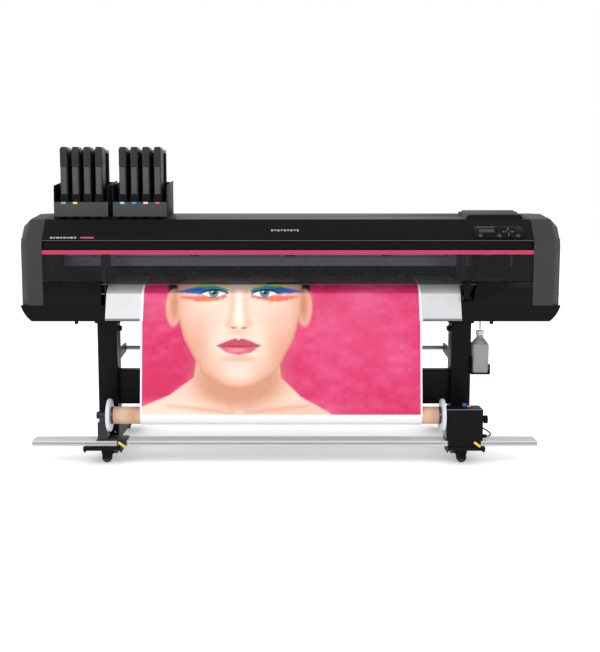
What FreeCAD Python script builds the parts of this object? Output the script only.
import FreeCAD, Part
import math
import os
from FreeCAD import Vector

# Wide-format roll-to-roll printer on a wheeled stand, in millimetres.
# X runs along the media width, +Y to the back, +Z up.
# The origin is the centre of the footprint at floor level.

os.makedirs("parts", exist_ok=True)

# ---- driving dimensions ----
BODY_HALF = 1350.0          # half of the overall width
FOOT_FRONT = -445.0
FOOT_BACK = 467.0           # balances the take-up flanges about the origin
BODY_LEFT = -1236.0         # inner edge of the left side cover
BODY_RIGHT = 1209.0         # inner edge of the right side cover
BODY_FRONT = -320.0
BODY_BACK = 330.0
BODY_BOTTOM = 785.0
PAN_BOTTOM = 705.0
FASCIA_FOOT = 1109.0        # lower edge of the sloping fascia
FASCIA_TOP_Y = -225.0
FASCIA_TOP_Z = 1212.0
CREST_Y = -10.0             # where the sloping top becomes level
TOP_Z = 1237.0
SHELL = 4.0                 # wall of the moulded covers
BAND_TOP = 1105.0           # dark band under the fascia
STRIP_TOP = 1061.0          # accent strip
STRIP_BOTTOM = 1039.5
OPENING_BOTTOM = 903.0

STAND_X = -32.0             # centre of the stand
LEG_OFFSET = 905.0
COLUMN_WIDTH = 100.0
COLUMN_FRONT = -226.0
COLUMN_DEPTH = 115.0
FOOT_BOTTOM = 73.0
FOOT_TOP = 94.0
CASTER_Y = 375.0
WHEEL_RADIUS = 25.0
WHEEL_WIDTH = 25.0
CASTER_TRAIL = 15.0

MEDIA_LEFT = -746.0
MEDIA_RIGHT = 653.0
MEDIA_THICK = 0.6
GUIDE_LEFT = -923.0
GUIDE_RIGHT = 852.0
NIP_Y = 20.0
NIP_Z = 904.0

CORE_LEFT = -882.0
CORE_RIGHT = 737.0
CORE_RADIUS = 43.5
CORE_BORE = 38.1
ROLL_Y = -385.0
ROLL_Z = 241.0
WRAP_RADIUS = 46.0
FLANGE_RADIUS = 82.0
FLANGE_THICK = 18.0
IDLER_FLANGE_X = -913.0     # outer face of the left flange
DRIVE_FLANGE_X = 750.0      # inner face of the right flange
RAIL_FRONT = -430.0
RAIL_BACK = -335.0
RAIL_TOP = 121.0

SUPPLY_Y = 330.0
SUPPLY_Z = 480.0
SUPPLY_RADIUS = 65.0

DOCK_CENTRES = (-1057.5, -760.5)
DOCK_WIDTH = 275.0
DOCK_FRONT = -210.0
DOCK_BACK = 80.0
SLOT_PITCH = 59.0
CARTRIDGE_TOP = 1568.0

RUN_FIT = 0.05              # radial clearance of a shaft in its bearing
GAP = 0.5                   # clearance between flat neighbours


# ---- shape helpers ----
def save(name, *solids):
    """Write one node; several solids become one compound."""
    shape = solids[0] if len(solids) == 1 else Part.makeCompound(list(solids))
    shape.exportStep("parts/" + name + ".step")
    print(name, len(shape.Solids), "solids", shape.isValid(), "volume", round(shape.Volume / 1000), "cm3")


def box(x0, x1, y0, y1, z0, z1):
    return Part.makeBox(x1 - x0, y1 - y0, z1 - z0, Vector(x0, y0, z0))


def rod(start, end, radius):
    """Cylinder between two points."""
    a = Vector(*start)
    b = Vector(*end)
    return Part.makeCylinder(radius, (b - a).Length, a, b - a)


def rod_x(x0, x1, y, z, radius):
    return rod((x0, y, z), (x1, y, z), radius)


def tube_x(x0, x1, y, z, outer, inner):
    return rod_x(x0, x1, y, z, outer).cut(rod_x(x0 - 1, x1 + 1, y, z, inner))


def prism_x(points, x0, x1):
    """Polygon given as (y, z) points, extruded along X."""
    corners = [Vector(x0, y, z) for y, z in points]
    return Part.Face(Part.makePolygon(corners + corners[:1])).extrude(Vector(x1 - x0, 0, 0))


def prism_y(points, y0, y1):
    """Polygon given as (x, z) points, extruded along Y."""
    corners = [Vector(x, y0, z) for x, z in points]
    return Part.Face(Part.makePolygon(corners + corners[:1])).extrude(Vector(0, y1 - y0, 0))


def prism_z(points, z0, z1):
    """Polygon given as (x, y) points, extruded along Z."""
    corners = [Vector(x, y, z0) for x, y in points]
    return Part.Face(Part.makePolygon(corners + corners[:1])).extrude(Vector(0, 0, z1 - z0))


def fuse(shapes):
    joined = shapes[0].multiFuse(list(shapes[1:])) if len(shapes) > 1 else shapes[0]
    return joined.removeSplitter()


def cut(shape, tools):
    for tool in tools:
        shape = shape.cut(tool)
    return shape


def normal_between(a, b):
    """Unit normal to the left of the direction a to b, in the YZ plane."""
    way = (b - a).normalize()
    return Vector(0, -way.z, way.y)


def bent_sheet(points, thickness, x0, x1, bend=0.0):
    """Sheet of even thickness that follows (y, z) points, extruded along X.

    The points lie on the sheet's right-hand face and the thickness is added
    to the left of the direction of travel. Inner corners are rounded with arcs.
    """
    path = [Vector(x0, y, z) for y, z in points]
    normals = [normal_between(a, b) for a, b in zip(path, path[1:])]
    near = []
    far = []
    last = path[0]
    last_far = path[0] + normals[0] * thickness
    start_cap = Part.LineSegment(last_far, last)
    for i in range(1, len(path) - 1):
        back = (path[i - 1] - path[i]).normalize()
        ahead = (path[i + 1] - path[i]).normalize()
        half = back.getAngle(ahead) / 2.0
        reach = max(bend, abs(thickness) * 1.5) / math.tan(half)
        reach = min(reach, 0.45 * (path[i] - path[i - 1]).Length, 0.45 * (path[i + 1] - path[i]).Length)
        radius = reach * math.tan(half)
        centre = path[i] + (back + ahead).normalize() * (radius / math.sin(half))
        enter = path[i] + back * reach
        leave = path[i] + ahead * reach
        middle = centre + (path[i] - centre).normalize() * radius
        side = 1.0 if (middle - centre).dot(normals[i - 1]) > 0 else -1.0
        middle_far = middle + (middle - centre).normalize() * thickness * side
        enter_far = enter + normals[i - 1] * thickness
        leave_far = leave + normals[i] * thickness
        near += [Part.LineSegment(last, enter), Part.Arc(enter, middle, leave)]
        far += [Part.LineSegment(last_far, enter_far), Part.Arc(enter_far, middle_far, leave_far)]
        last = leave
        last_far = leave_far
    end_far = path[-1] + normals[-1] * thickness
    near.append(Part.LineSegment(last, path[-1]))
    far.append(Part.LineSegment(last_far, end_far))
    end_cap = Part.LineSegment(path[-1], end_far)
    edges = [piece.toShape() for piece in [start_cap] + near + [end_cap] + far[::-1]]
    wire = Part.Wire(Part.__sortEdges__(edges))
    return Part.Face(wire).extrude(Vector(x1 - x0, 0, 0))


def turned(shape, x, y, degrees):
    """Copy of a shape made at the origin, turned about Z and put at x, y."""
    copy = shape.copy()
    copy.rotate(Vector(0, 0, 0), Vector(0, 0, 1), degrees)
    copy.translate(Vector(x, y, 0))
    return copy


# ---- stand ----
LEG_XS = (STAND_X - LEG_OFFSET, STAND_X + LEG_OFFSET)
COLUMN_BACK = COLUMN_FRONT + COLUMN_DEPTH
BEAM_BOTTOM = 265.0
BEAM_TOP = 436.0
STEM_RADIUS = 6.0
PLATE_HALF = 92.5           # half width of the plates over the casters
PLATE_LENGTH = 145.0


def foot(x):
    """Foot beam with a wide plate and turned-down ears at each end."""
    beam = box(x - 50, x + 50, FOOT_FRONT + 5, FOOT_BACK - 5, FOOT_BOTTOM + 1, FOOT_TOP)
    pieces = [beam]
    for y0, y1 in ((FOOT_FRONT, FOOT_FRONT + PLATE_LENGTH), (FOOT_BACK - PLATE_LENGTH, FOOT_BACK)):
        pieces.append(box(x - PLATE_HALF, x + PLATE_HALF, y0, y1, FOOT_BOTTOM, FOOT_TOP - 3))
        for ear in (-1, 1):
            outer = x + ear * PLATE_HALF
            tip = x + ear * (PLATE_HALF - 4)
            ear_points = [(y0, FOOT_BOTTOM), (y1, FOOT_BOTTOM), (y1 - 30, 56), (y0 + 30, 56)]
            pieces.append(prism_x(ear_points, min(outer, tip), max(outer, tip)))
    stems = [rod((x, side * CASTER_Y, FOOT_BOTTOM - 1), (x, side * CASTER_Y, 88), STEM_RADIUS + RUN_FIT)
             for side in (-1, 1)]
    return cut(fuse(pieces), stems)


def column(x):
    """Hollow upright with a head bracket and a small inward bump near the top."""
    inward = 1 if x < STAND_X else -1
    half = COLUMN_WIDTH / 2
    post = box(x - half, x + half, COLUMN_FRONT, COLUMN_BACK, FOOT_TOP, PAN_BOTTOM - 20)
    bore = box(x - half + 4, x + half - 4, COLUMN_FRONT + 4, COLUMN_BACK - 4, FOOT_TOP + 6, PAN_BOTTOM)
    head = box(x - 62, x + 62, COLUMN_FRONT - 8, 180, PAN_BOTTOM - 20, PAN_BOTTOM)
    face = x + inward * half
    bump = box(min(face, face + inward * 16), max(face, face + inward * 16), -190, -150, 640, 664)
    gusset_points = [(COLUMN_BACK, PAN_BOTTOM - 20), (150, PAN_BOTTOM - 20), (COLUMN_BACK, 520)]
    gusset = prism_x(gusset_points, x - 3, x + 3)
    return fuse([post.cut(bore), head, bump, gusset])


def crossbeam():
    """Folded sheet beam between the uprights, open to the back."""
    x0 = LEG_XS[0] + COLUMN_WIDTH / 2
    x1 = LEG_XS[1] - COLUMN_WIDTH / 2
    outline = [(-138, BEAM_BOTTOM), (-200, BEAM_BOTTOM), (-200, BEAM_TOP), (-138, BEAM_TOP)]
    return bent_sheet(outline, 4.0, x0, x1, 8.0)


save("stand_feet", *[foot(x) for x in LEG_XS])
save("stand_columns", *[column(x) for x in LEG_XS])
save("stand_crossbeam", crossbeam())


# ---- casters, drawn at the origin with the wheel trailing towards +X ----
CHEEK_INNER = WHEEL_WIDTH / 2 + 1.0
CHEEK_OUTER = CHEEK_INNER + 4.0
AXLE_RADIUS = 4.0
PEDAL_PIN = (40.0, 47.0)    # x and z of the brake pedal's pin
PIN_RADIUS = 2.5


def caster_fork(with_brake):
    crown = rod((0, 0, FOOT_BOTTOM - 7), (0, 0, FOOT_BOTTOM - GAP), 22)
    stem = rod((0, 0, FOOT_BOTTOM - 2), (0, 0, 86), STEM_RADIUS)
    reach = PEDAL_PIN[0] + 6 if with_brake else 30
    outline = [(-14, 66), (-2, 18), (24, 18), (reach, 42), (reach, 54), (20, 66)]
    pieces = [crown, stem]
    for side in (-1, 1):
        y0 = min(side * CHEEK_INNER, side * CHEEK_OUTER)
        pieces.append(prism_y(outline, y0, y0 + 4))
    bridge = box(-14, 20, -CHEEK_OUTER, CHEEK_OUTER, 63, 67)
    pieces.append(bridge)
    trail = CASTER_TRAIL
    pieces.append(rod((trail, -CHEEK_OUTER - 1.5, WHEEL_RADIUS), (trail, CHEEK_OUTER + 1.5, WHEEL_RADIUS),
                      AXLE_RADIUS))
    if with_brake:
        pin_x, pin_z = PEDAL_PIN
        pieces.append(rod((pin_x, -CHEEK_OUTER - 1, pin_z), (pin_x, CHEEK_OUTER + 1, pin_z), PIN_RADIUS))
    return fuse(pieces)


def caster_wheel():
    trail = CASTER_TRAIL
    tread = rod((trail, -WHEEL_WIDTH / 2, WHEEL_RADIUS), (trail, WHEEL_WIDTH / 2, WHEEL_RADIUS), WHEEL_RADIUS)
    rims = [edge for edge in tread.Edges if edge.Length > 2 * WHEEL_RADIUS * 3]
    tread = tread.makeFillet(3.0, rims)
    bore = rod((trail, -WHEEL_WIDTH, WHEEL_RADIUS), (trail, WHEEL_WIDTH, WHEEL_RADIUS), AXLE_RADIUS + RUN_FIT)
    return tread.cut(bore)


def caster_pedal():
    """Brake pedal: a flat tread on a short hub that turns on the fork's pin."""
    pin_x, pin_z = PEDAL_PIN
    half = CHEEK_INNER - 1
    hub = rod((pin_x, -half, pin_z), (pin_x, half, pin_z), 5)
    tread = box(pin_x, pin_x + 30, -half, half, pin_z + 1, pin_z + 5)
    bore = rod((pin_x, -half - 1, pin_z), (pin_x, half + 1, pin_z), PIN_RADIUS + RUN_FIT)
    return fuse([hub, tread]).cut(bore)


CASTERS = {
    "front_left": (LEG_XS[0], -CASTER_Y, 0, True),
    "front_right": (LEG_XS[1], -CASTER_Y, 180, True),
    "rear_left": (LEG_XS[0], CASTER_Y, 90, False),
    "rear_right": (LEG_XS[1], CASTER_Y, 90, False),
}
for corner, (caster_x, caster_y, heading, braked) in CASTERS.items():
    save("caster_fork_" + corner, turned(caster_fork(braked), caster_x, caster_y, heading))
    save("caster_wheel_" + corner, turned(caster_wheel(), caster_x, caster_y, heading))
    if braked:
        save("caster_pedal_" + corner, turned(caster_pedal(), caster_x, caster_y, heading))


# ---- take-up unit ----
STUB_RADIUS = 15.0          # journal of each flange
HOLDER_LEFT = -964.0
HOLDER_RIGHT = -914.5
BOX_LEFT = 772.0
BOX_RIGHT = 952.0
BOX_TOP = 282.0
LIP_BACK = RAIL_FRONT - GAP
LIP_FRONT = LIP_BACK - 5.0
LEVER_FRONT = LIP_FRONT - GAP - 4.0
LIP_BOTTOM = FOOT_TOP + 1.5
LEVER_PIN_Z = 107.0


def takeup_rail():
    """Aluminium extrusion with a groove along the front face."""
    outline = [(RAIL_FRONT, 94), (RAIL_BACK, 94), (RAIL_BACK, RAIL_TOP), (RAIL_FRONT, RAIL_TOP),
               (RAIL_FRONT, 111), (RAIL_FRONT + 5, 111), (RAIL_FRONT + 5, 105), (RAIL_FRONT, 105)]
    rail = prism_x(outline, -1285, 1225)
    chambers = [box(-1286, 1226, RAIL_FRONT + 8 + 28 * i, RAIL_FRONT + 32 + 28 * i, 97, RAIL_TOP - 3)
                for i in range(3)]
    return cut(rail, chambers)


def lever_pin(x):
    return rod((x, LIP_FRONT + 1, LEVER_PIN_Z), (x, LEVER_FRONT, LEVER_PIN_Z), PIN_RADIUS)


def idler_holder():
    """Cast holder with a half-round cradle, a rib and a base that grips the rail."""
    base_z = RAIL_TOP + GAP
    side = [(-430, base_z), (-336, base_z), (-352, 215), (-362, 238), (-408, 238), (-418, 215)]
    wall = prism_x(side, HOLDER_LEFT + 12, HOLDER_RIGHT)
    rib = prism_x([(-395, base_z), (-375, base_z), (-375, 205), (-395, 205)], HOLDER_LEFT, HOLDER_LEFT + 13)
    base = box(HOLDER_LEFT, -815, -438, -337, base_z, base_z + 6)
    lip = box(-862, -815, LIP_FRONT, LIP_BACK, LIP_BOTTOM, base_z + 6)
    journal = rod_x(HOLDER_LEFT - 1, HOLDER_RIGHT + 1, ROLL_Y, ROLL_Z, STUB_RADIUS + RUN_FIT)
    return fuse([wall.cut(journal), rib.cut(journal), base, lip, lever_pin(-838)])


def drive_box():
    """Motor housing of the take-up with a bearing bore and a lip over the rail."""
    base_z = RAIL_TOP + GAP
    housing = box(BOX_LEFT, BOX_RIGHT, -440, -337, base_z, BOX_TOP)
    crown = [edge for edge in housing.Edges if edge.BoundBox.ZMin > BOX_TOP - 1]
    housing = housing.makeFillet(5.0, crown)
    cavity = box(BOX_LEFT + 22, BOX_RIGHT - 5, -435, -342, base_z + 5, BOX_TOP - 5)
    lip = box(BOX_LEFT + 10, 945, LIP_FRONT, LIP_BACK, LIP_BOTTOM, base_z + 4)
    bearing = rod_x(BOX_LEFT - 1, BOX_LEFT + 40, ROLL_Y, ROLL_Z, STUB_RADIUS + RUN_FIT)
    knob_bore = rod_x(BOX_RIGHT - 10, BOX_RIGHT + 1, ROLL_Y, 220, 5 + RUN_FIT)
    button_well = rod((871, -360, BOX_TOP - 8), (871, -360, BOX_TOP + 1), 10.5)
    shell = cut(housing, [cavity, bearing, knob_bore, button_well])
    return fuse([shell, lip, lever_pin(923)])


def lock_lever(x, lean):
    """Slanted thumb lever on the lip's pin."""
    y0 = LEVER_FRONT
    y1 = LIP_FRONT - GAP
    blade = prism_y([(-6, -9), (7, -9), (9, 9), (-4, 9)], y0, y1)
    blade = blade.makeFillet(3.0, [edge for edge in blade.Edges if abs(edge.BoundBox.YLength - 4.0) < 0.1])
    blade.rotate(Vector(0, 0, 0), Vector(0, 1, 0), lean)
    blade.translate(Vector(x, 0, LEVER_PIN_Z))
    return blade.cut(rod((x, LIP_FRONT + 1, LEVER_PIN_Z), (x, y0 - 1, LEVER_PIN_Z), PIN_RADIUS + RUN_FIT))


def flange(disc_x, inward, stub_end):
    """Paper flange: disc, hub, chuck that enters the core, and journal."""
    disc = rod_x(disc_x, disc_x + inward * FLANGE_THICK, ROLL_Y, ROLL_Z, FLANGE_RADIUS)
    rims = [edge for edge in disc.Edges if edge.Length > 6 * FLANGE_RADIUS]
    disc = disc.makeFillet(4.0, rims)
    face = disc_x + inward * FLANGE_THICK
    core_end = CORE_LEFT if inward > 0 else CORE_RIGHT
    collar = rod_x(face - inward, core_end - inward * GAP, ROLL_Y, ROLL_Z, 34)
    chuck = rod_x(core_end - inward * 2, core_end + inward * 30, ROLL_Y, ROLL_Z, CORE_BORE - 0.4)
    journal = rod_x(stub_end, disc_x + inward, ROLL_Y, ROLL_Z, STUB_RADIUS)
    return fuse([disc, collar, chuck.cut(rod_x(core_end - inward * 3, core_end - inward * GAP, ROLL_Y,
                                               ROLL_Z, 60)), journal])


def takeup_switch():
    """Round push button on top of the drive box."""
    button = rod((871, -360, BOX_TOP - 3), (871, -360, BOX_TOP + 14), 10)
    return button.makeFillet(2.0, [edge for edge in button.Edges if edge.BoundBox.ZMin > BOX_TOP + 13])


def takeup_knob():
    """Hand knob on a short shaft."""
    shaft = rod_x(BOX_RIGHT - 4, BOX_RIGHT + 14, ROLL_Y, 220, 5)
    head = rod_x(BOX_RIGHT + 13, BOX_RIGHT + 32, ROLL_Y, 220, 20)
    return fuse([shaft, head.makeFillet(2.0, [edge for edge in head.Edges if edge.Length > 100])])


save("takeup_rail", takeup_rail())
save("takeup_idler_holder", idler_holder())
save("takeup_drive_box", drive_box())
save("left_lock_lever", lock_lever(-838, 25))
save("right_lock_lever", lock_lever(923, 25))
save("takeup_idler_flange", flange(IDLER_FLANGE_X, 1, HOLDER_LEFT - 4))
save("takeup_drive_flange", flange(DRIVE_FLANGE_X + FLANGE_THICK, -1, BOX_LEFT + 20))
save("takeup_core", tube_x(CORE_LEFT, CORE_RIGHT, ROLL_Y, ROLL_Z, CORE_RADIUS, CORE_BORE))
save("takeup_switch", takeup_switch())
save("takeup_knob", takeup_knob())


# ---- covers ----
SIDE_OUTLINE = [(BODY_FRONT, BODY_BOTTOM), (BODY_FRONT, FASCIA_FOOT), (FASCIA_TOP_Y, FASCIA_TOP_Z),
                (CREST_Y, TOP_Z), (260, TOP_Z), (BODY_BACK, 1150), (BODY_BACK, BODY_BOTTOM)]
BEVEL = 40.0
DIVIDER_LEFT = -947.0
DIVIDER_RIGHT = 878.0
PANEL_TOP = OPENING_BOTTOM
HINGE_Y = -313.0
HINGE_Z = 1034.5
HINGE_RADIUS = 4.0
LEVER_PIVOT = (-328.0, 822.0)
LEVER_TOP = 900.0


def side_cover(inner_x, outer_x):
    """Moulded end cover, open towards the middle, with a bevel round its outer face."""
    outer = prism_x(SIDE_OUTLINE, inner_x, outer_x)
    rims = [edge for edge in outer.Edges
            if abs(edge.BoundBox.XMin - outer_x) < 0.1 and edge.BoundBox.XLength < 0.1
            and edge.BoundBox.ZMax > BODY_BOTTOM + 1]
    outer = outer.makeChamfer(BEVEL, rims)
    sign = 1 if outer_x > inner_x else -1
    hole_points = [(BODY_FRONT + SHELL, BODY_BOTTOM + SHELL), (BODY_FRONT + SHELL, FASCIA_FOOT - 2),
                   (FASCIA_TOP_Y + 2, FASCIA_TOP_Z - SHELL), (CREST_Y, TOP_Z - SHELL),
                   (258, TOP_Z - SHELL), (BODY_BACK - SHELL, 1149), (BODY_BACK - SHELL, BODY_BOTTOM + SHELL)]
    hole = prism_x(hole_points, inner_x - sign, outer_x - sign * SHELL)
    rims = [edge for edge in hole.Edges
            if abs(edge.BoundBox.XMin - outer_x + sign * SHELL) < 0.1 and edge.BoundBox.XLength < 0.1
            and edge.BoundBox.ZMax > BODY_BOTTOM + SHELL + 1]
    hole = hole.makeChamfer(BEVEL - 1, rims)
    pin = rod_x(inner_x + sign * 8, inner_x - sign * 14, HINGE_Y, HINGE_Z, PIN_RADIUS)
    ends = sorted((inner_x, inner_x + sign * 10))
    pin_block = box(ends[0], ends[1], BODY_FRONT + 2, HINGE_Y + 6, HINGE_Z - 7, HINGE_Z + 7)
    return fuse([outer.cut(hole), pin_block, pin])


def lower_cover():
    """Bottom pan whose ends sweep up in a concave quarter curve."""
    corner = 53.0
    depth = BODY_BOTTOM - PAN_BOTTOM
    sag = 0.29
    edges = []
    bottom_left = Vector(-BODY_HALF + corner, BODY_FRONT, PAN_BOTTOM)
    bottom_right = Vector(BODY_HALF - corner, BODY_FRONT, PAN_BOTTOM)
    top_right = Vector(BODY_HALF, BODY_FRONT, BODY_BOTTOM - GAP)
    top_left = Vector(-BODY_HALF, BODY_FRONT, BODY_BOTTOM - GAP)
    bow_right = Vector(BODY_HALF - corner * sag * 1.9, BODY_FRONT, PAN_BOTTOM + depth * sag)
    bow_left = Vector(-BODY_HALF + corner * sag * 1.9, BODY_FRONT, PAN_BOTTOM + depth * sag)
    edges.append(Part.makeLine(bottom_left, bottom_right))
    edges.append(Part.Arc(bottom_right, bow_right, top_right).toShape())
    edges.append(Part.makeLine(top_right, top_left))
    edges.append(Part.Arc(top_left, bow_left, bottom_left).toShape())
    outer = Part.Face(Part.Wire(edges)).extrude(Vector(0, BODY_BACK - BODY_FRONT, 0))
    inside = box(-BODY_HALF + 62, BODY_HALF - 62, BODY_FRONT + SHELL, BODY_BACK - SHELL,
                 PAN_BOTTOM + SHELL, BODY_BOTTOM + 1)
    pegs = [rod((x, -250, PAN_BOTTOM - 21), (x, -250, PAN_BOTTOM + 1), 9) for x in (-1087, 1020)]
    return fuse([outer.cut(inside)] + pegs)


def top_cover():
    """Long moulded cover: band, sloping fascia, top and rear wall, with the lid opening."""
    outline = [(BODY_FRONT, FASCIA_FOOT), (FASCIA_TOP_Y, FASCIA_TOP_Z), (CREST_Y, TOP_Z), (260, TOP_Z),
               (BODY_BACK, 1150), (BODY_BACK, 925)]
    skin = bent_sheet(outline, -SHELL, BODY_LEFT, BODY_RIGHT)
    band = box(BODY_LEFT, BODY_RIGHT, BODY_FRONT + 12, BODY_FRONT + 16, STRIP_TOP, BAND_TOP)
    shelf = box(BODY_LEFT, BODY_RIGHT, BODY_FRONT, BODY_FRONT + 16, BAND_TOP - 1, FASCIA_FOOT)
    well = box(LID_LEFT + 20, LID_RIGHT - 20, -185, -40, 1150, 1260)
    return fuse([skin, band, shelf]).cut(well)


def lid_slope(y):
    """Height of the sloping top at a given depth."""
    run = (TOP_Z - FASCIA_TOP_Z) / (CREST_Y - FASCIA_TOP_Y)
    return FASCIA_TOP_Z + (y - FASCIA_TOP_Y) * run


LID_LEFT = 886.0
LID_RIGHT = 1176.0
LID_FRONT = -212.0
LID_BACK = -16.0
LID_RISE = 20.0
LID_HINGE_Y = LID_BACK - 6.0
LID_HINGE_Z = lid_slope(LID_HINGE_Y) + 9.5


def service_lid():
    """Raised lid with sloping edges that hinges along its back edge."""
    front_z = lid_slope(LID_FRONT) + GAP
    back_z = lid_slope(LID_BACK) + GAP
    lower = [Vector(LID_LEFT, LID_FRONT, front_z), Vector(LID_RIGHT, LID_FRONT, front_z),
             Vector(LID_RIGHT, LID_BACK, back_z), Vector(LID_LEFT, LID_BACK, back_z)]
    upper = [Vector(LID_LEFT + 12, LID_FRONT + 10, front_z + LID_RISE),
             Vector(LID_RIGHT - 12, LID_FRONT + 10, front_z + LID_RISE),
             Vector(LID_RIGHT - 12, LID_BACK - 4, back_z + LID_RISE),
             Vector(LID_LEFT + 12, LID_BACK - 4, back_z + LID_RISE)]
    solid = Part.makeLoft([Part.makePolygon(ring + ring[:1]) for ring in (lower, upper)], True, True)
    cavity = box(LID_LEFT + 16, LID_RIGHT - 16, LID_FRONT + 14, LID_BACK - 16, 1150, front_z + LID_RISE - 4)
    bore = rod_x(LID_LEFT - 1, LID_RIGHT + 1, LID_HINGE_Y, LID_HINGE_Z, PIN_RADIUS + RUN_FIT)
    heel = box(LID_LEFT - 1, LID_RIGHT + 1, LID_HINGE_Y - 8, LID_BACK + 1, 1200, LID_HINGE_Z - 6)
    return cut(solid, [cavity, bore, heel])


def lid_hinge():
    """Hinge pin held by two small ears beside the lid."""
    ears = [box(x, x + 5, LID_HINGE_Y - 6, LID_HINGE_Y + 6, lid_slope(LID_HINGE_Y + 6), LID_HINGE_Z + 5)
            for x in (LID_LEFT - 6, LID_RIGHT + 1)]
    pin = rod_x(LID_LEFT - 4, LID_RIGHT + 4, LID_HINGE_Y, LID_HINGE_Z, PIN_RADIUS)
    return fuse(ears + [pin])


def front_cover():
    """Smoked window that hangs from its round top bead; its middle reaches lower."""
    clear = 1.5
    x0 = BODY_LEFT + clear
    x1 = BODY_RIGHT - clear
    bead = rod_x(x0, x1, HINGE_Y, HINGE_Z, HINGE_RADIUS)
    pane = box(x0, x1, HINGE_Y - 3, HINGE_Y, PANEL_TOP + 2, HINGE_Z)
    apron = box(GUIDE_LEFT - 15, GUIDE_RIGHT - 3, HINGE_Y - 3, HINGE_Y, 889, PANEL_TOP + 3)
    hem = box(GUIDE_LEFT - 15, GUIDE_RIGHT - 3, HINGE_Y - 3, HINGE_Y + 3, 889, 893)
    bore = [rod_x(x0 - 1, x0 + 14, HINGE_Y, HINGE_Z, PIN_RADIUS + RUN_FIT),
            rod_x(x1 - 14, x1 + 1, HINGE_Y, HINGE_Z, PIN_RADIUS + RUN_FIT)]
    return cut(fuse([bead, pane, apron, hem]), bore)


def front_panels():
    """Lower front panels left and right of the media path, with the lever recess."""
    left = box(BODY_LEFT + GAP, DIVIDER_LEFT, BODY_FRONT, BODY_FRONT + 10, BODY_BOTTOM, PANEL_TOP)
    left_shelf = box(BODY_LEFT + GAP, DIVIDER_LEFT, BODY_FRONT + 10, BODY_FRONT + 60, PANEL_TOP - 5, PANEL_TOP)
    right = box(GUIDE_RIGHT + 4, BODY_RIGHT - GAP, BODY_FRONT, BODY_FRONT + 10, BODY_BOTTOM, PANEL_TOP)
    recess_points = [(GUIDE_RIGHT, 808), (912, 808), (932, PANEL_TOP + 1), (GUIDE_RIGHT, PANEL_TOP + 1)]
    recess = prism_y(recess_points, BODY_FRONT - 1, BODY_FRONT + 11)
    back_wall = box(GUIDE_RIGHT + 4, 940, BODY_FRONT + 46, BODY_FRONT + 50, BODY_BOTTOM, PANEL_TOP)
    floor = box(GUIDE_RIGHT + 4, 940, BODY_FRONT + 9, BODY_FRONT + 47, 800, 804)
    right_shelf = box(936, BODY_RIGHT - GAP, BODY_FRONT + 10, BODY_FRONT + 60, PANEL_TOP - 5, PANEL_TOP)
    ears = [box(x, x + 4, -338, BODY_FRONT + 47, 810, 834) for x in (857, 897)]
    lever_shaft = rod_x(858, 900, *LEVER_PIVOT, 5)
    return fuse([left, left_shelf]), fuse([right.cut(recess), back_wall, floor, right_shelf, lever_shaft] + ears)


def loading_lever():
    """Media loading lever: pivot tube and a flat upright grip with a hooked top."""
    y, z = LEVER_PIVOT
    tube = rod_x(862, 896, y, z, 8)
    grip = box(863, 893, y - 4, y + 4, z, LEVER_TOP)
    grip = grip.makeFillet(3.0, [edge for edge in grip.Edges if edge.BoundBox.ZLength > 50])
    hook = box(863, 893, y - 12, y + 4, LEVER_TOP - 8, LEVER_TOP)
    bore = rod_x(860, 898, y, z, 5 + RUN_FIT)
    return fuse([tube, grip, hook]).cut(bore)


def control_panel():
    """Raised bezel on the fascia with wells for the keys, drawn flat and then tilted."""
    plate = prism_z(PANEL_OUTLINE, GAP, PANEL_RISE)
    wells = [key_shape(point, KEY_CLEAR) for point in KEY_SPOTS]
    return on_fascia(cut(plate, wells))


PANEL_X = 903.0
PANEL_WIDTH = 269.0
PANEL_RISE = 4.0
KEY_CLEAR = 0.5
PANEL_OUTLINE = [(4, 13), (PANEL_WIDTH - 4, 13), (PANEL_WIDTH - 14, 93), (14, 93)]
FUNCTION_KEYS = [(41, 31), (135, 31), (229, 31)]
ARROW_KEYS = [(182 + 13 * math.cos(turn * math.pi / 2), 54 + 13 * math.sin(turn * math.pi / 2))
              for turn in range(4)]
KEY_SPOTS = [(x, s, 11, 4) for x, s in FUNCTION_KEYS] + [(x, s, 5, 5) for x, s in ARROW_KEYS]


def key_shape(spot, grow):
    """Key block at (x, distance up the slope) with its half sizes, or its well if grow leaves a gap."""
    x, s, half_x, half_s = spot
    foot = 2.4 - grow * 2.6
    top = PANEL_RISE + 1.5 + grow * 10
    return box(x - half_x - grow, x + half_x + grow, s - half_s - grow, s + half_s + grow, foot, top)


def on_fascia(shape):
    """Place a shape drawn flat (x, up the slope, outward) on the sloping fascia."""
    angle = math.degrees(math.atan2(FASCIA_TOP_Z - FASCIA_FOOT, FASCIA_TOP_Y - BODY_FRONT))
    shape.rotate(Vector(0, 0, 0), Vector(1, 0, 0), angle)
    shape.translate(Vector(PANEL_X, BODY_FRONT, FASCIA_FOOT))
    return shape


save("side_covers", side_cover(BODY_LEFT, -BODY_HALF), side_cover(BODY_RIGHT, BODY_HALF))
save("lower_cover", lower_cover())
save("top_cover", top_cover(), lid_hinge())
save("service_lid", service_lid())
save("accent_strip", box(BODY_LEFT + GAP, BODY_RIGHT - GAP, -318, -302, STRIP_BOTTOM, STRIP_TOP - GAP))
save("front_cover", front_cover())
save("front_panels", *front_panels())
save("loading_lever", loading_lever())
save("control_panel", control_panel())
save("panel_keys", *[on_fascia(key_shape(spot, 0)) for spot in KEY_SPOTS])


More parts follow.
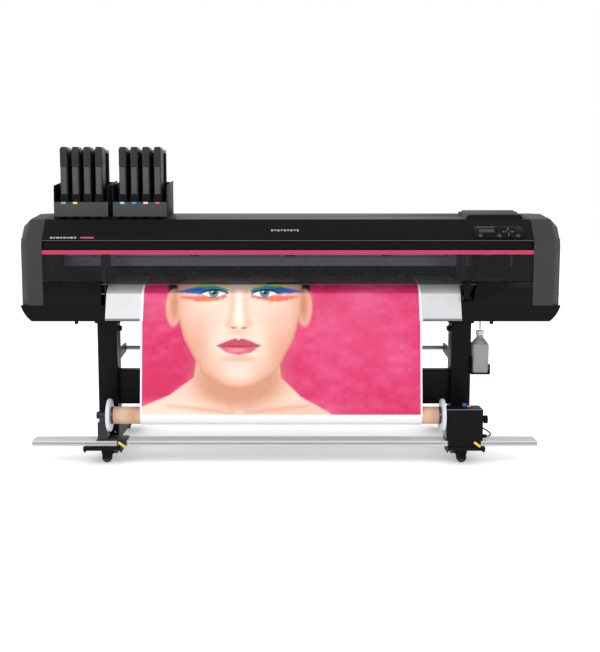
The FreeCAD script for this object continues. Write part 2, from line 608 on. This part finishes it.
# ---- ink supply ----
CARTRIDGE_WIDTH = 37.0
CARTRIDGE_FRONT = -186.0
CARTRIDGE_BACK = -32.0
CARTRIDGE_BOTTOM = 1347.0
NOSE_BOTTOM = 1258.0
BEZEL_BOTTOM = 1300.0
BEZEL_TOP = 1336.0
NOSE_INSET = 4.0
PANEL_FOOT = 1215.0          # lower edge of the dock's front panel
SLOT_OFFSETS = [SLOT_PITCH * (i - 1.5) for i in range(4)]


def dock_wall(x0, x1):
    """Side wall of a dock: follows the sloping top below and rises towards the back."""
    outline = [(DOCK_FRONT, lid_slope(DOCK_FRONT)), (DOCK_FRONT, 1298), (DOCK_FRONT + 6, 1381),
               (DOCK_BACK, 1412), (DOCK_BACK, TOP_Z), (CREST_Y, TOP_Z)]
    return prism_x(outline, x0, x1)


def ink_dock(centre):
    """Open tub for four cartridges with a raised socket round each of them."""
    left = centre - DOCK_WIDTH / 2
    right = centre + DOCK_WIDTH / 2
    wall = 4.0
    pieces = [dock_wall(left, left + wall), dock_wall(right - wall, right)]
    panel = box(left, right, DOCK_FRONT, DOCK_FRONT + wall, PANEL_FOOT, 1298)
    scallops = [rod((centre + offset, DOCK_FRONT - 1, PANEL_FOOT - 32), (centre + offset, DOCK_FRONT + wall + 1,
                    PANEL_FOOT - 32), 40) for offset in SLOT_OFFSETS]
    pieces.append(cut(panel, scallops))
    pieces.append(box(left, right, DOCK_BACK - wall, DOCK_BACK, TOP_Z, 1405))
    pieces.append(box(left, right, DOCK_FRONT, DOCK_BACK, TOP_Z + 2, TOP_Z + 6))
    for offset in SLOT_OFFSETS:
        x = centre + offset
        half = CARTRIDGE_WIDTH / 2
        socket = box(x - half - 2, x + half + 2, CARTRIDGE_FRONT - 4, CARTRIDGE_BACK + 4, BEZEL_BOTTOM, BEZEL_TOP)
        pieces.append(socket)
    pieces.append(box(left + 1, right - 1, DOCK_FRONT + 1, CARTRIDGE_BACK + 12, BEZEL_BOTTOM - 6, BEZEL_BOTTOM + 1))
    tub = fuse(pieces)
    noses = [nose(centre + offset, 1.0, NOSE_BOTTOM - 2) for offset in SLOT_OFFSETS]
    return cut(tub, noses)


def nose(x, grow, bottom):
    """Lower part of a cartridge, or the well it drops into."""
    half = CARTRIDGE_WIDTH / 2 - NOSE_INSET + grow
    return box(x - half, x + half, CARTRIDGE_FRONT + NOSE_INSET - grow, CARTRIDGE_BACK - NOSE_INSET + grow,
               bottom, CARTRIDGE_BOTTOM + 1)


def ink_cartridge(x):
    """Tall flat cartridge with rounded upright edges and a narrower nose."""
    half = CARTRIDGE_WIDTH / 2
    body = box(x - half, x + half, CARTRIDGE_FRONT, CARTRIDGE_BACK, CARTRIDGE_BOTTOM, CARTRIDGE_TOP)
    uprights = [edge for edge in body.Edges if edge.BoundBox.ZLength > 100]
    body = body.makeFillet(5.0, uprights)
    grip = box(x - 12, x + 12, CARTRIDGE_FRONT + 30, CARTRIDGE_BACK - 30, CARTRIDGE_TOP - 1, CARTRIDGE_TOP + 7)
    return fuse([body, grip, nose(x, 0.0, NOSE_BOTTOM)])


save("ink_docks", *[ink_dock(centre) for centre in DOCK_CENTRES])
for dock, centre in enumerate(DOCK_CENTRES):
    for slot, offset in enumerate(SLOT_OFFSETS):
        save("ink_cartridge_" + str(4 * dock + slot + 1), ink_cartridge(centre + offset))


# ---- chassis and print mechanism ----
RAIL_X0 = -1200.0
RAIL_X1 = 1180.0
PULLEY_LEFT_X = -1150.0
PULLEY_RIGHT_X = 1150.0
PULLEY_Y = 50.0
PULLEY_Z = 1062.0
PULLEY_RADIUS = 14.0
BELT_WIDTH = 10.0
BELT_THICK = 1.5
CARRIAGE_X = 1045.0         # parked over the capping station
CARRIAGE_HALF = 90.0
HEAD_BOTTOM = 911.0
FEED_RADIUS = 16.0
PINCH_RADIUS = 12.0
PINCH_COUNT = 20
PINCH_PITCH = 70.0
ARM_PIVOT = (78.0, 938.0)
FEED_Z = NIP_Z - 0.4 - FEED_RADIUS
PINCH_Z = NIP_Z + MEDIA_THICK + 0.4 + PINCH_RADIUS
SHAFT_RADIUS = 5.0
MEDIA_CENTRE = (MEDIA_LEFT + MEDIA_RIGHT) / 2


def main_frame():
    """Steel chassis: end plates, floor, dividers, bearings and capping station."""
    plates = []
    for x in (BODY_LEFT + 6, BODY_RIGHT - 12):
        plate = box(x, x + 6, -255, 300, PAN_BOTTOM + SHELL + 1, 1120)
        plates.append(plate)
    floor = box(BODY_LEFT + 6, BODY_RIGHT - 6, -280, 300, PAN_BOTTOM + SHELL + 1, PAN_BOTTOM + SHELL + 6)
    uprights = []
    for x in (DIVIDER_LEFT, GUIDE_RIGHT):
        upright = box(x, x + 24, -300, -140, OPENING_BOTTOM + 2, 1038)
        leg = box(x + 9, x + 15, -265, 60, PAN_BOTTOM + SHELL + 5, OPENING_BOTTOM - 4)
        bearing = rod_x(x + 8, x + 16, NIP_Y, FEED_Z, SHAFT_RADIUS + RUN_FIT)
        uprights += [upright, leg.cut(bearing), box(x + 9, x + 15, -265, -142, 895, 906)]
    arm_bearings = [box(x, x + 6, 60, 96, 712, 950).cut(rod_x(x - 1, x + 7, *ARM_PIVOT, SHAFT_RADIUS + RUN_FIT))
                    for x in (DIVIDER_LEFT + 9, GUIDE_RIGHT + 9)]
    capping = box(960, 1130, -118, -20, 860, HEAD_BOTTOM - 4)
    capping_leg = box(980, 1110, -110, -30, PAN_BOTTOM + SHELL + 5, 861)
    return fuse(plates + [floor] + uprights + arm_bearings + [capping, capping_leg])


def carriage_rail():
    """Hollow beam with a linear guide bar on its front face."""
    beam = box(RAIL_X0, RAIL_X1, 22, 80, 962, 1040)
    bore = box(RAIL_X0 - 1, RAIL_X1 + 1, 26, 76, 966, 1036)
    bar = box(RAIL_X0 + 20, RAIL_X1 - 20, 8, 23, 992, 1008)
    posts = [rod((x, PULLEY_Y, 1039), (x, PULLEY_Y, PULLEY_Z + 8), 4) for x in (PULLEY_LEFT_X, PULLEY_RIGHT_X)]
    return fuse([beam.cut(bore), bar] + posts)


def belt_loop(inner):
    """Race-track block between the two pulleys; the belt is one block less another."""
    z0 = PULLEY_Z - BELT_WIDTH / 2
    straight = box(PULLEY_LEFT_X, PULLEY_RIGHT_X, PULLEY_Y - inner, PULLEY_Y + inner, z0, z0 + BELT_WIDTH)
    ends = [rod((x, PULLEY_Y, z0), (x, PULLEY_Y, z0 + BELT_WIDTH), inner) for x in (PULLEY_LEFT_X, PULLEY_RIGHT_X)]
    return fuse([straight] + ends)


def belt_pulley(x):
    wheel = rod((x, PULLEY_Y, PULLEY_Z - 6), (x, PULLEY_Y, PULLEY_Z + 6), PULLEY_RADIUS)
    return wheel.cut(rod((x, PULLEY_Y, PULLEY_Z - 20), (x, PULLEY_Y, PULLEY_Z + 20), 4 + RUN_FIT))


def carriage():
    """Print head carriage: head box, cover, shoe round the guide bar and belt clamp."""
    x0 = CARRIAGE_X - CARRIAGE_HALF
    x1 = CARRIAGE_X + CARRIAGE_HALF
    head = box(x0 + 25, x1 - 25, -110, -30, HEAD_BOTTOM, 935)
    body = box(x0, x1, -128, -14, 934, 1030)
    body = body.makeFillet(8.0, [edge for edge in body.Edges if edge.BoundBox.YMax < -127])
    shoe = box(x0 + 15, x1 - 15, -16, 20, 978, 1022)
    slot = box(x0, x1, 8 - GAP, 30, 992 - GAP, 1008 + GAP)
    clamp_z = PULLEY_Z + BELT_WIDTH / 2 + 2
    front_run = PULLEY_Y - PULLEY_RADIUS - 0.4 - BELT_THICK
    mast = box(CARRIAGE_X - 20, CARRIAGE_X + 20, -14, 0, 1020, clamp_z + 4)
    plate = box(CARRIAGE_X - 20, CARRIAGE_X + 20, -14, front_run + 8, clamp_z, clamp_z + 4)
    jaws = [box(CARRIAGE_X - 20, CARRIAGE_X + 20, front_run - 4, front_run - GAP, PULLEY_Z - 5, clamp_z + 1),
            box(CARRIAGE_X - 20, CARRIAGE_X + 20, front_run + BELT_THICK + GAP, front_run + 6,
                PULLEY_Z - 5, clamp_z + 1)]
    return cut(fuse([head, body, shoe, mast, plate] + jaws), [slot])


def pinch_xs():
    return [MEDIA_CENTRE + PINCH_PITCH * (i - (PINCH_COUNT - 1) / 2) for i in range(PINCH_COUNT)]


def feed_roller():
    roller = rod_x(GUIDE_LEFT + 6, GUIDE_RIGHT - 8, NIP_Y, FEED_Z, FEED_RADIUS)
    shaft = rod_x(DIVIDER_LEFT, GUIDE_RIGHT + 20, NIP_Y, FEED_Z, SHAFT_RADIUS)
    return fuse([roller, shaft])


def pinch_rollers():
    return [rod_x(x - 14, x + 14, NIP_Y, PINCH_Z, PINCH_RADIUS).cut(rod_x(x - 20, x + 20, NIP_Y, PINCH_Z,
                                                                     3 + RUN_FIT)) for x in pinch_xs()]


def pinch_arms():
    """Row of forked arms on one tilting shaft; each fork carries a roller pin."""
    y, z = ARM_PIVOT
    pieces = [rod_x(DIVIDER_LEFT + 6, GUIDE_RIGHT + 18, y, z, SHAFT_RADIUS)]
    for x in pinch_xs():
        pieces.append(rod_x(x - 20, x + 20, y, z, 9))
        pieces.append(prism_x([(y, z + 8), (y, z - 8), (NIP_Y + 20, PINCH_Z - 2), (NIP_Y + 20, PINCH_Z + 10)],
                              x - 19, x + 19))
        for side in (-1, 1):
            edge = x + side * 17
            cheek = [(NIP_Y + 20, PINCH_Z - 4), (NIP_Y + 20, PINCH_Z + 10), (NIP_Y - 2, PINCH_Z + 7),
                     (NIP_Y - 7, PINCH_Z), (NIP_Y - 2, PINCH_Z - 6)]
            pieces.append(prism_x(cheek, edge - 2, edge + 2))
        pieces.append(rod_x(x - 18, x + 18, NIP_Y, PINCH_Z, 3))
    return fuse(pieces)


save("main_frame", main_frame())
save("carriage_rail", carriage_rail())
belt_inner = PULLEY_RADIUS + 0.4
save("drive_belt", belt_loop(belt_inner + BELT_THICK).cut(belt_loop(belt_inner)))
save("drive_pulley", belt_pulley(PULLEY_RIGHT_X))
save("idler_pulley", belt_pulley(PULLEY_LEFT_X))
save("print_carriage", carriage())
save("feed_roller", feed_roller())
save("pinch_rollers", *pinch_rollers())
save("pinch_arms", pinch_arms())


# ---- media path ----
GUIDE_THICK = 2.0
MEDIA_LIFT = 0.4            # air between the media and what it passes
GUIDE_PATH = [(-353, 712), (-297.5, 842.5), (-247, 880.5), (-38, NIP_Z - MEDIA_LIFT - GUIDE_THICK)]
REAR_PATH = [(64, 900), (300, 898), (350, 860), (352, 795)]
HOLDER_ARM_HALF = 6.0
SPOOL_RADIUS = 12.0


def offset_path(points, distance):
    """Points moved to the left of the path by a distance, mitred at the corners."""
    path = [Vector(0, y, z) for y, z in points]
    normals = [normal_between(a, b) for a, b in zip(path, path[1:])]
    moved = []
    for i, point in enumerate(path):
        before = normals[max(i - 1, 0)]
        after = normals[min(i, len(normals) - 1)]
        mitre = (before + after).normalize()
        shifted = point + mitre * (distance / mitre.dot(after))
        moved.append((shifted.y, shifted.z))
    return moved


def exit_guide():
    return bent_sheet(GUIDE_PATH, GUIDE_THICK, GUIDE_LEFT, GUIDE_RIGHT, 18.0)


def platen():
    """Flat vacuum table in front of the nip, and the curved guide behind it."""
    table = box(GUIDE_LEFT + 6, GUIDE_RIGHT - 6, -36, 1, 882, NIP_Z - MEDIA_LIFT)
    grooves = [box(GUIDE_LEFT + 5, GUIDE_RIGHT - 5, y, y + 2, 902, 904) for y in (-28, -20, -12)]
    rear = bent_sheet(REAR_PATH, GUIDE_THICK, GUIDE_LEFT, GUIDE_RIGHT, 22.0)
    return cut(table, grooves), rear


def printed_web():
    """Media from the supply roll over the platen and down to the take-up roll."""
    front = offset_path(GUIDE_PATH, GUIDE_THICK + MEDIA_LIFT)[:3]
    rear = offset_path(REAR_PATH[1:3], GUIDE_THICK + 2.0)
    start = (ROLL_Y - WRAP_RADIUS - 1.3, ROLL_Z)
    end = (SUPPLY_Y + SUPPLY_RADIUS + 1.0, SUPPLY_Z)
    route = [start] + front + [(-36, NIP_Z), (150, NIP_Z)] + rear + [end]
    return bent_sheet(route, MEDIA_THICK, MEDIA_LEFT, MEDIA_RIGHT, 20.0)


def supply_roll():
    """Roll of blank media on its core, with flanges on a through shaft."""
    roll = tube_x(MEDIA_LEFT, MEDIA_RIGHT, SUPPLY_Y, SUPPLY_Z, SUPPLY_RADIUS, CORE_RADIUS - 1)
    core = tube_x(MEDIA_LEFT - 30, MEDIA_RIGHT + 30, SUPPLY_Y, SUPPLY_Z, CORE_RADIUS - 1, CORE_BORE)
    plugs = [rod_x(x, x + 36, SUPPLY_Y, SUPPLY_Z, CORE_BORE) for x in (MEDIA_LEFT - 30, MEDIA_RIGHT - 6)]
    discs = [rod_x(x, x + 8, SUPPLY_Y, SUPPLY_Z, 74) for x in (MEDIA_LEFT - 38, MEDIA_RIGHT + 30)]
    shaft = rod_x(LEG_XS[0] - 14, LEG_XS[1] + 14, SUPPLY_Y, SUPPLY_Z, SPOOL_RADIUS)
    return fuse([roll, core] + plugs + discs + [shaft])


def supply_holder(x):
    """Arm from the back of an upright with a bearing for the supply shaft."""
    arm_points = [(COLUMN_BACK, 432), (COLUMN_BACK, 505), (345, 505), (356, 494), (356, 466), (340, 456),
                  (-40, 432)]
    arm = prism_x(arm_points, x - HOLDER_ARM_HALF, x + HOLDER_ARM_HALF)
    pad = box(x - 40, x + 40, COLUMN_BACK, COLUMN_BACK + 6, 422, 515)
    bearing = rod_x(x - 10, x + 10, SUPPLY_Y, SUPPLY_Z, SPOOL_RADIUS + RUN_FIT)
    return fuse([arm.cut(bearing), pad])


# ---- waste ink ----
BOTTLE_X = 972.0
BOTTLE_Y = -200.0
BOTTLE_HALF = 42.0
BOTTLE_BASE = 427.0
BOTTLE_SHOULDER = 582.0
NECK_BASE = 604.0
NECK_RADIUS = 17.0
CAP_RADIUS = 20.0


def waste_bottle():
    body = box(BOTTLE_X - BOTTLE_HALF, BOTTLE_X + BOTTLE_HALF, BOTTLE_Y - BOTTLE_HALF, BOTTLE_Y + BOTTLE_HALF,
               BOTTLE_BASE, BOTTLE_SHOULDER)
    body = body.makeFillet(10.0, [edge for edge in body.Edges if edge.BoundBox.ZLength > 50])
    shoulder = Part.makeCone(BOTTLE_HALF - 1, NECK_RADIUS, NECK_BASE - BOTTLE_SHOULDER,
                             Vector(BOTTLE_X, BOTTLE_Y, BOTTLE_SHOULDER))
    neck = rod((BOTTLE_X, BOTTLE_Y, NECK_BASE - 1), (BOTTLE_X, BOTTLE_Y, 632), NECK_RADIUS)
    cap = rod((BOTTLE_X, BOTTLE_Y, 626), (BOTTLE_X, BOTTLE_Y, 648), CAP_RADIUS)
    return fuse([body, shoulder, neck, cap])


def bottle_holder():
    """Folded tray on the outer side of the right upright."""
    x0 = LEG_XS[1] + COLUMN_WIDTH / 2
    y0 = BOTTLE_Y - BOTTLE_HALF - 3
    y1 = BOTTLE_Y + BOTTLE_HALF + 3
    plate = box(x0, x0 + 3, y0, y1, 423, 517)
    floor = box(x0, x0 + 97, y0, y1, 423, 426)
    lip = box(x0 + 94, x0 + 97, y0, y1, 423, 473)
    back = box(x0, x0 + 97, y1 - 1, y1 + 2, 423, 473)
    return fuse([plate, floor, lip, back])


def switch_cable():
    """Short cable loop on the right side of the take-up drive box."""
    y = -400.0
    out = BOX_RIGHT + 12
    top = Vector(BOX_RIGHT, y, 176)
    low = Vector(BOX_RIGHT, y, 136)
    edges = [Part.makeLine(top, Vector(out, y, 176)),
             Part.Arc(Vector(out, y, 176), Vector(out + 20, y, 156), Vector(out, y, 136)).toShape(),
             Part.makeLine(Vector(out, y, 136), low)]
    section = Part.Wire(Part.makeCircle(2.0, top, Vector(1, 0, 0)))
    return Part.Wire(edges).makePipeShell([section], True, False)


save("exit_guide", exit_guide())
save("platen", *platen())
save("printed_web", printed_web())
save("supply_roll", supply_roll())
save("supply_holders", *[supply_holder(x) for x in LEG_XS])
save("waste_bottle", waste_bottle())
save("bottle_holder", bottle_holder())
save("waste_tube", rod((BOTTLE_X, BOTTLE_Y, 651), (BOTTLE_X, BOTTLE_Y, PAN_BOTTOM), 3.5))
save("switch_cable", switch_cable())
